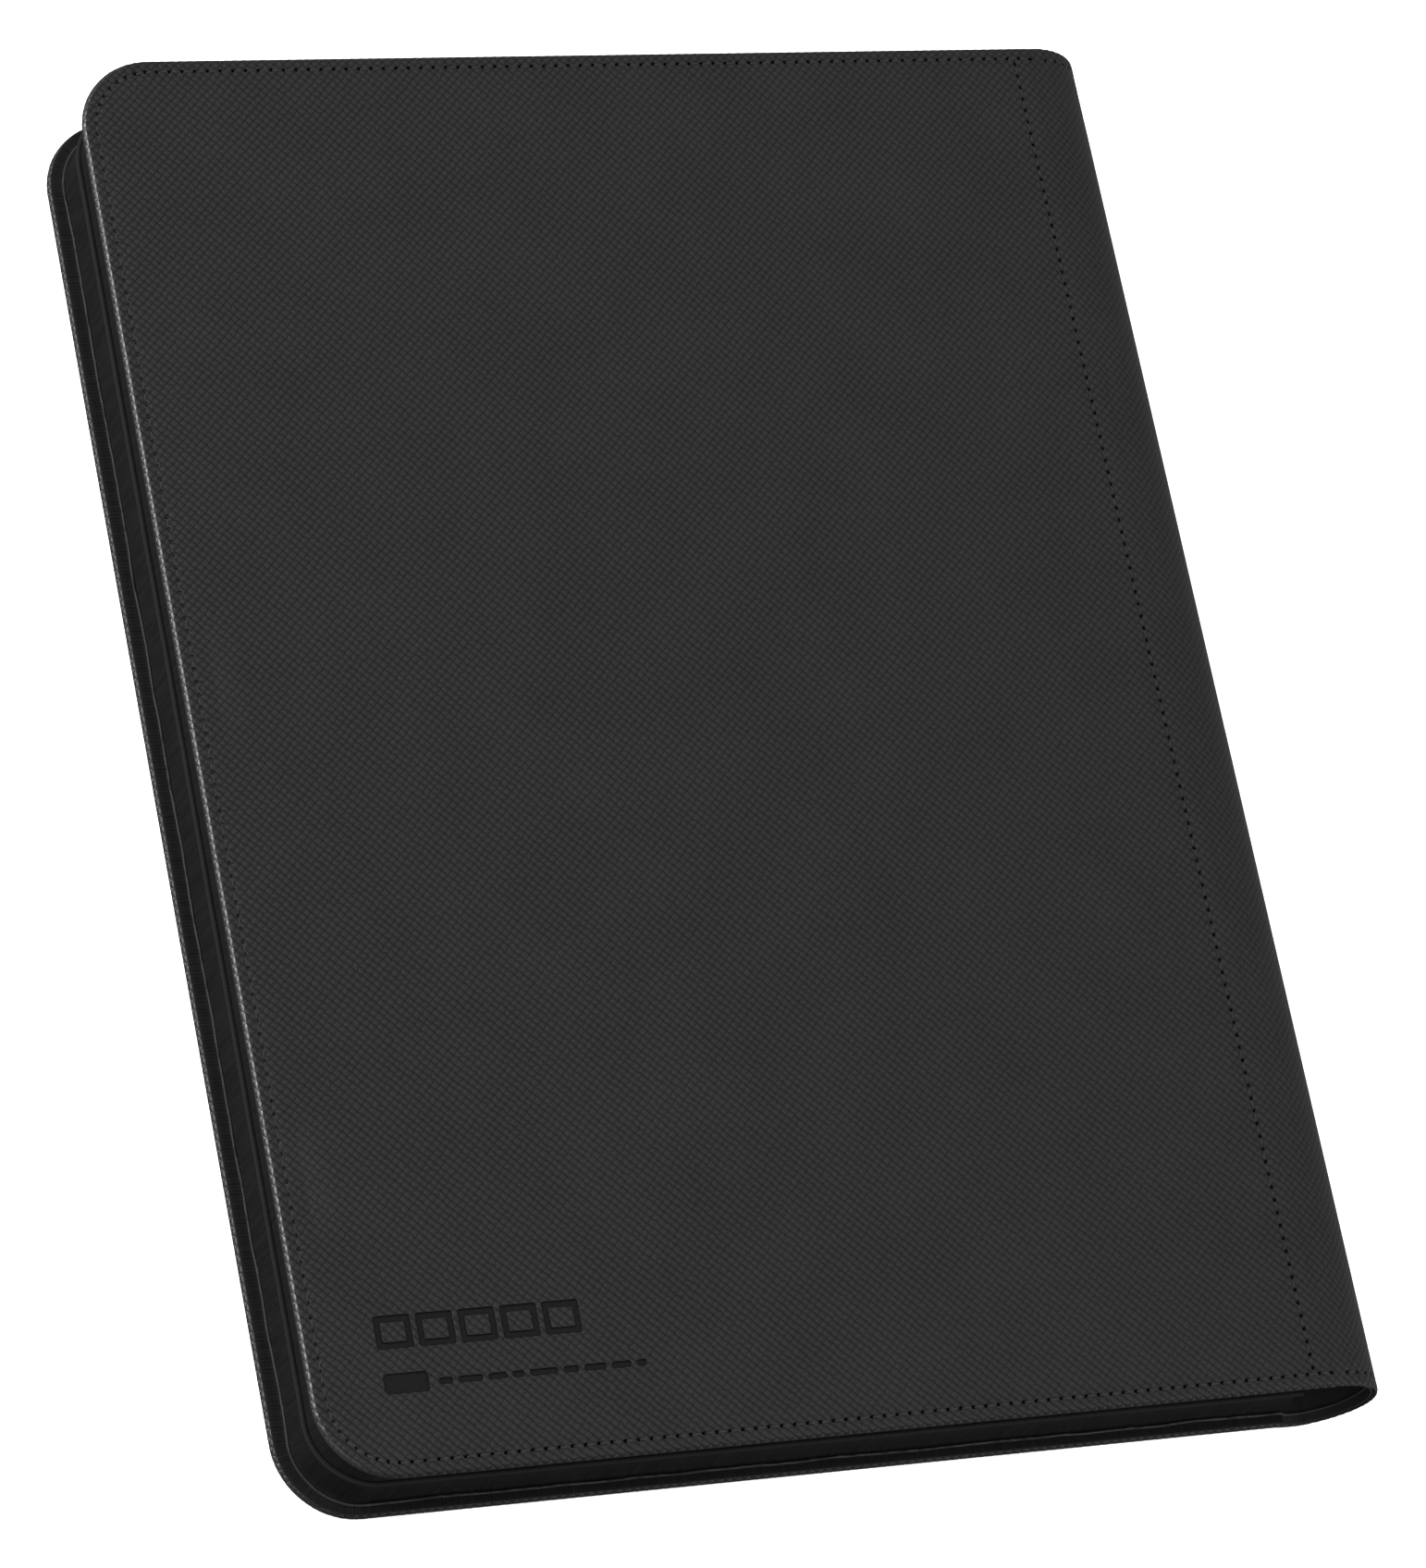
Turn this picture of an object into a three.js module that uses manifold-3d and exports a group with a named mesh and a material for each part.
// A zip-around, side-loading trading card binder, closed and lying on its front cover.
// Millimetres, +Z up, +X towards the spine, +Y towards the binder's top edge. The origin is at
// the middle of the footprint, on the surface that the binder lies on.
//
// Everything is drawn in (u, y, z), where u is the distance from the covers' open edge, and the
// whole group is then moved so that the footprint is centred. Heights are given for the front
// cover, which is underneath, and mirrored about mid thickness for the back cover.

import * as THREE from 'three';
import { mergeVertices } from 'three/addons/utils/BufferGeometryUtils.js';
import Module from 'manifold-3d';

const wasm = await Module();
wasm.setup();

// ---- Driving dimensions ------------------------------------------------------------------

const HEIGHT = 330; // the covers' long side, along Y
const THICKNESS = 32.5; // over both covers
const CORNER_RADIUS = 18; // at the two corners of the open edge
const GAP = 0.1; // left between two layers that lie flat on each other

// The spine is one bend of the skin, an arc in the XZ plane.
const SPINE_RADIUS = 16.4; // its outside
const BACK_STEP = 0.5; // the back cover stands this much higher than the bend's top
const SPINE_CENTRE = { u: 236, z: THICKNESS - BACK_STEP - SPINE_RADIUS };
const WIDTH = SPINE_CENTRE.u + SPINE_RADIUS;
// The spine folds against each cover at a line on its outside, at this height from that cover's
// outside. Places on the bend are given by how far the skin has turned there, from 0 degrees on
// the front cover to 180 degrees on the back cover.
const FOLD_HEIGHT = 0.65;
const FOLD_GAP_TURN = 0.6; // left free on each side of a fold line
const BACK_BEND_TURN = 178; // where the bend meets the back cover's step

// The layers of a cover, from the outside in.
const SKIN = 0.9;
const BOARD = 1.2;
const LINING = 0.4;
const HEM_WIDTH = 5; // the skin is turned in round the board
const BOARD_END = 234.6; // the board's edge at the spine

// The zipper stands as a wall round the three open sides.
const TAPE = 0.7;
const FLANGE = 0.5; // the tape's edge, sewn flat on to the cover
const FLANGE_INSET = 0.6; // from the covers' edge
const WALL_INSET = 3.8; // from the covers' edge to the wall's outside
const TAPE_END = 236; // the tapes' ends, tucked into the spine
const PARTING_GAP = 0.5; // from mid thickness to each tape's free edge
const COIL = { height: 1.9, depth: 1.4, end: 224 };

// The slider stands at the closed end of the zipper, on the top edge next to the spine.
const SLIDER = { u: 219, length: 11, height: 9, plate: 0.9, clearance: 0.3, web: 0.6 };
const CROWN = { length: 7, width: 2, hole: 5.4, rise: 1.8, top: 0.6 };
const PULLER = {
  length: 24,
  width: 7,
  thickness: 0.8,
  window: 3.6,
  windowLength: 5.2,
  rise: 1,
  barOffset: 1,
};
const STOP_LENGTH = 2;

// The leaves: 20 of them, each with two columns of four side-loading pockets on each side.
const LEAF_COUNT = 20;
const LEAF = { length: 210, height: 292, thickness: 0.5, corner: 4 };
const LEAF_EDGE = 224.5; // the bound edge
const BINDING = { start: 226.2, thickness: 1.4 };

// ---- Values worked out from them -----------------------------------------------------------

const HALF = HEIGHT / 2;
const MIDDLE_Z = THICKNESS / 2;
const HEM_TOP = SKIN + GAP + BOARD;
const LINING_START = HEM_TOP + GAP;
const INSIDE = LINING_START + LINING;
const FLANGE_START = INSIDE + GAP;
const CORNER_STEPS = 10;
const BEND_STEP_TURN = 7.5;

// ---- Materials -------------------------------------------------------------------------------

const finish = (color, roughness, metalness = 0) =>
  new THREE.MeshStandardMaterial({ color, roughness, metalness });

const skinFinish = () => finish(0x303030, 0.75);
const liningFinish = () => finish(0x1b1b1c, 0.9);
const boardFinish = () => finish(0x3a3a3a, 0.8);
const tapeFinish = () => finish(0x1c1c1d, 0.95);
const coilFinish = () => finish(0x202021, 0.5);
const metalFinish = () => finish(0x26262a, 0.35, 0.8);
const leafFinish = () => finish(0x141416, 0.25);

// ---- Solids ------------------------------------------------------------------------------------

function toSolid(geometry) {
  geometry.deleteAttribute('normal');
  geometry.deleteAttribute('uv');
  const merged = mergeVertices(geometry, 1e-4);
  const mesh = new wasm.Mesh({
    numProp: 3,
    vertProperties: new Float32Array(merged.attributes.position.array),
    triVerts: new Uint32Array(merged.index.array),
  });
  return new wasm.Manifold(mesh);
}

function toGeometry(solid) {
  const mesh = solid.getMesh();
  const geometry = new THREE.BufferGeometry();
  geometry.setAttribute('position', new THREE.BufferAttribute(mesh.vertProperties, 3));
  geometry.setIndex(new THREE.BufferAttribute(mesh.triVerts, 1));
  geometry.computeVertexNormals();
  return geometry;
}

// A shape in (u, y), raised from one height to the other.
function upright(shape, zFrom, zTo) {
  const geometry = new THREE.ExtrudeGeometry(shape, { depth: zTo - zFrom, bevelEnabled: false });
  geometry.translate(0, 0, zFrom);
  return geometry;
}

// A section in (u, z), drawn out along Y over the binder's whole height.
function alongSpine(section) {
  const geometry = new THREE.ExtrudeGeometry(section, { depth: HEIGHT, bevelEnabled: false });
  geometry.rotateX(Math.PI / 2);
  geometry.translate(0, HALF, 0);
  return geometry;
}

function box(uRange, yRange, zRange) {
  const size = [uRange, yRange, zRange].map(([low, high]) => high - low);
  const centre = [uRange, yRange, zRange].map(([low, high]) => (low + high) / 2);
  return new THREE.BoxGeometry(...size).translate(...centre);
}

const union = (first, second) => toGeometry(toSolid(first).add(toSolid(second)));

// ---- Outlines ------------------------------------------------------------------------------------

// The covers' outline in from their edge by an inset: along the bottom edge from the spine, round
// both corners of the open edge, and back along the top edge.
function edgePath(inset, spineEnd) {
  const radius = CORNER_RADIUS - inset;
  const corners = new THREE.Path();
  corners.absarc(CORNER_RADIUS, CORNER_RADIUS - HALF, radius, -Math.PI / 2, Math.PI, true);
  corners.absarc(CORNER_RADIUS, HALF - CORNER_RADIUS, radius, Math.PI, Math.PI / 2, true);
  return [
    new THREE.Vector2(spineEnd, inset - HALF),
    ...corners.getPoints(CORNER_STEPS),
    new THREE.Vector2(spineEnd, HALF - inset),
  ];
}

const plate = (inset, spineEnd) => new THREE.Shape(edgePath(inset, spineEnd));

const band = (outerInset, innerInset, spineEnd) =>
  new THREE.Shape([...edgePath(outerInset, spineEnd), ...edgePath(innerInset, spineEnd).reverse()]);

// Points (u, z) on an arc round the spine's centre, between two turns of the skin in degrees.
function bend(radius, fromTurn, toTurn) {
  const steps = Math.max(2, Math.round(Math.abs(toTurn - fromTurn) / BEND_STEP_TURN));
  return Array.from({ length: steps + 1 }, (_, step) => {
    const turn = THREE.MathUtils.degToRad(fromTurn + ((toTurn - fromTurn) * step) / steps);
    const u = SPINE_CENTRE.u + radius * Math.sin(turn);
    const z = SPINE_CENTRE.z - radius * Math.cos(turn);
    return new THREE.Vector2(u, z);
  });
}

// The turn at which an arc round the spine's centre leaves a level below that centre.
const turnAtLevel = (radius, level) =>
  THREE.MathUtils.radToDeg(Math.acos(Math.abs(SPINE_CENTRE.z - level) / radius));

const FRONT_FOLD_TURN = turnAtLevel(SPINE_RADIUS, FOLD_HEIGHT);
const BACK_FOLD_TURN = 180 - turnAtLevel(SPINE_RADIUS, THICKNESS - FOLD_HEIGHT);

// ---- Covers --------------------------------------------------------------------------------------

const heights = (side, low, high) => (side === 'front' ? [low, high] : [THICKNESS - high, THICKNESS - low]);

// A layer of the front cover between two distances from the outside: flat as far as the board's
// edge, then down on to the level of the bend, and round the bend as far as the fold line.
function frontSection(outside, layer, bendOutside) {
  const line = (depth, bendDepth, boardEnd) => {
    const radius = SPINE_RADIUS - bendDepth;
    const slope = depth > bendDepth ? [new THREE.Vector2(boardEnd + depth, bendDepth)] : [];
    return [
      new THREE.Vector2(0, depth),
      new THREE.Vector2(boardEnd, depth),
      ...slope,
      ...bend(radius, turnAtLevel(radius, bendDepth), FRONT_FOLD_TURN - FOLD_GAP_TURN),
    ];
  };
  const outer = line(outside, bendOutside, BOARD_END);
  const inner = line(outside + layer, bendOutside + layer, BOARD_END + GAP);
  return new THREE.Shape([...outer, ...inner.reverse()]);
}

// The same layer of the back cover, which steps down to the top of the bend at the board's edge.
function backSection(outside, layer, bendOutside) {
  const line = (depth, bendDepth, boardEnd) => [
    new THREE.Vector2(0, THICKNESS - depth),
    new THREE.Vector2(boardEnd, THICKNESS - depth),
    ...bend(SPINE_RADIUS - bendDepth, BACK_BEND_TURN, BACK_FOLD_TURN + FOLD_GAP_TURN),
  ];
  const outer = line(outside, bendOutside, BOARD_END);
  const inner = line(outside + layer, bendOutside + layer, BOARD_END);
  return new THREE.Shape([...outer, ...inner.reverse()]);
}

const section = (side, ...layer) => (side === 'front' ? frontSection(...layer) : backSection(...layer));

// The skin is a flat sheet that runs on into the bend, with its hem turned in round the board.
function coverSkin(side) {
  const sheet = toSolid(alongSpine(section(side, 0, SKIN, 0)));
  const outline = toSolid(upright(plate(0, WIDTH), -1, THICKNESS + 1));
  const hem = toSolid(upright(band(0, HEM_WIDTH, BOARD_END), ...heights(side, SKIN / 2, HEM_TOP)));
  return toGeometry(sheet.intersect(outline).add(hem));
}

const coverBoard = (side) =>
  upright(plate(HEM_WIDTH + GAP, BOARD_END - GAP), ...heights(side, SKIN + GAP, HEM_TOP));

function coverLining(side) {
  const sheet = toSolid(alongSpine(section(side, LINING_START, LINING, SKIN + GAP)));
  const outline = toSolid(upright(plate(FLANGE_INSET, WIDTH), -1, THICKNESS + 1));
  return toGeometry(sheet.intersect(outline));
}

// ---- Spine ---------------------------------------------------------------------------------------

// One layer of the bend between the two fold lines.
function spineLayer(outside, layer) {
  const from = FRONT_FOLD_TURN + FOLD_GAP_TURN;
  const to = BACK_FOLD_TURN - FOLD_GAP_TURN;
  const outer = bend(SPINE_RADIUS - outside, from, to);
  const inner = bend(SPINE_RADIUS - outside - layer, from, to);
  return alongSpine(new THREE.Shape([...outer, ...inner.reverse()]));
}

// ---- Zipper --------------------------------------------------------------------------------------

const PARTING_EDGE = MIDDLE_Z - PARTING_GAP;
const COIL_INSET = WALL_INSET + TAPE + GAP;

function zipperTape(side) {
  const flange = upright(
    band(FLANGE_INSET, WALL_INSET + TAPE, TAPE_END),
    ...heights(side, FLANGE_START, FLANGE_START + FLANGE),
  );
  const wall = upright(
    band(WALL_INSET, WALL_INSET + TAPE, TAPE_END),
    ...heights(side, FLANGE_START + FLANGE / 2, PARTING_EDGE),
  );
  return union(flange, wall);
}

const zipperCoil = (side) =>
  upright(
    band(COIL_INSET, COIL_INSET + COIL.depth, COIL.end),
    ...heights(side, PARTING_EDGE - COIL.height, PARTING_EDGE),
  );

// A stop crimped on to the end of one coil, or across both, on the top (+1) or bottom (-1) edge.
function zipperStop(edge, zRange) {
  const near = edge * (HALF - COIL_INSET);
  const far = edge * (HALF - COIL_INSET - COIL.depth);
  const start = COIL.end + GAP;
  return box([start, start + STOP_LENGTH], [Math.min(near, far), Math.max(near, far)], zRange);
}

const around = (centre, length) => [centre - length / 2, centre + length / 2];
const insets = (near, far) => [HALF - far, HALF - near]; // y, inwards from the top edge

// Two plates with the tapes and coils between them, a web that runs in the gap between the two
// halves of the zipper, and a crown on the outer plate that holds the puller's bar.
function sliderBody() {
  const outerFace = WALL_INSET - SLIDER.clearance;
  const innerFace = COIL_INSET + COIL.depth + SLIDER.clearance;
  const span = around(SLIDER.u, SLIDER.length);
  const height = around(MIDDLE_Z, SLIDER.height);
  const outerPlate = box(span, insets(outerFace - SLIDER.plate, outerFace), height);
  const innerPlate = box(span, insets(innerFace, innerFace + SLIDER.plate), height);
  const overlap = SLIDER.plate / 2;
  const web = box(span, insets(outerFace - overlap, innerFace + overlap), around(MIDDLE_Z, SLIDER.web));
  const crownFoot = outerFace - SLIDER.plate;
  const crownRange = insets(crownFoot - CROWN.rise - CROWN.top, crownFoot + overlap);
  const crown = toSolid(box(around(SLIDER.u, CROWN.length), crownRange, around(MIDDLE_Z, CROWN.width)));
  const holeRange = insets(crownFoot - CROWN.rise, crownFoot);
  const hole = box(around(SLIDER.u, CROWN.hole), holeRange, around(MIDDLE_Z, 3 * CROWN.width));
  const body = toSolid(outerPlate).add(toSolid(innerPlate)).add(toSolid(web));
  return toGeometry(body.add(crown.subtract(toSolid(hole))));
}

// A flat tab, lying back along the zipper, with a window at its root that fits round the crown.
// The bar at the window's end passes under the crown and is what the puller turns on.
function puller() {
  const barInset = WALL_INSET - SLIDER.clearance - SLIDER.plate - PULLER.rise;
  const corner = PULLER.width / 4;
  const right = SLIDER.u + PULLER.barOffset + PULLER.thickness / 2;
  const left = right - PULLER.length;
  const half = PULLER.width / 2;
  const outline = new THREE.Shape();
  outline.moveTo(right, -half);
  outline.lineTo(right, half);
  outline.absarc(left + corner, half - corner, corner, Math.PI / 2, Math.PI, false);
  outline.absarc(left + corner, corner - half, corner, Math.PI, 1.5 * Math.PI, false);
  const window = new THREE.Path();
  const windowRight = right - PULLER.thickness;
  const windowLeft = windowRight - PULLER.windowLength;
  window.moveTo(windowRight, -PULLER.window / 2);
  window.lineTo(windowLeft, -PULLER.window / 2);
  window.lineTo(windowLeft, PULLER.window / 2);
  window.lineTo(windowRight, PULLER.window / 2);
  outline.holes.push(window);
  const geometry = new THREE.ExtrudeGeometry(outline, {
    depth: PULLER.thickness,
    bevelEnabled: false,
    curveSegments: 5,
  });
  geometry.rotateX(Math.PI / 2);
  geometry.translate(0, HALF - barInset + PULLER.thickness / 2, MIDDLE_Z);
  return geometry;
}

// ---- Pages ---------------------------------------------------------------------------------------

const LEAF_PITCH = (THICKNESS - 2 * INSIDE) / LEAF_COUNT;

// A leaf with its outer corners rounded, at its own height in the block.
function pageLeaf(index) {
  const { length, height, thickness, corner } = LEAF;
  const left = LEAF_EDGE - length;
  const half = height / 2;
  const outline = new THREE.Shape();
  outline.moveTo(LEAF_EDGE, -half);
  outline.lineTo(LEAF_EDGE, half);
  outline.absarc(left + corner, half - corner, corner, Math.PI / 2, Math.PI, false);
  outline.absarc(left + corner, corner - half, corner, Math.PI, 1.5 * Math.PI, false);
  const centre = INSIDE + (index + 0.5) * LEAF_PITCH;
  return upright(outline, centre - thickness / 2, centre + thickness / 2);
}

// Half of the strip that the leaves are sewn to, standing on the inside of its own cover.
const pageBinding = (side) =>
  box(
    [BINDING.start, BINDING.start + BINDING.thickness],
    around(0, LEAF.height),
    heights(side, INSIDE + GAP, PARTING_EDGE),
  );

// ---- Assembly ------------------------------------------------------------------------------------

const binder = new THREE.Group();
binder.name = 'trading_card_binder';
binder.position.x = -WIDTH / 2;

function add(name, geometry, material) {
  const mesh = new THREE.Mesh(geometry, material);
  mesh.name = name;
  binder.add(mesh);
}

for (const side of ['front', 'back']) {
  add(`${side}_cover_skin`, coverSkin(side), skinFinish());
  add(`${side}_cover_board`, coverBoard(side), boardFinish());
  add(`${side}_cover_lining`, coverLining(side), liningFinish());
  add(`${side}_zipper_tape`, zipperTape(side), tapeFinish());
  add(`${side}_zipper_coil`, zipperCoil(side), coilFinish());
  add(`${side}_page_binding`, pageBinding(side), tapeFinish());
  const coilRange = heights(side, PARTING_EDGE - COIL.height, PARTING_EDGE);
  add(`${side}_zipper_top_stop`, zipperStop(1, coilRange), metalFinish());
}

add('spine_skin', spineLayer(0, SKIN), skinFinish());
add('spine_lining', spineLayer(SKIN + GAP, LINING), liningFinish());

const bothCoils = around(MIDDLE_Z, 2 * (PARTING_GAP + COIL.height));
add('zipper_bottom_stop', zipperStop(-1, bothCoils), metalFinish());
add('slider_body', sliderBody(), metalFinish());
add('slider_puller', puller(), metalFinish());

for (let index = 0; index < LEAF_COUNT; index += 1) {
  const number = String(index + 1).padStart(2, '0');
  add(`page_leaf_${number}`, pageLeaf(index), leafFinish());
}

export default binder;
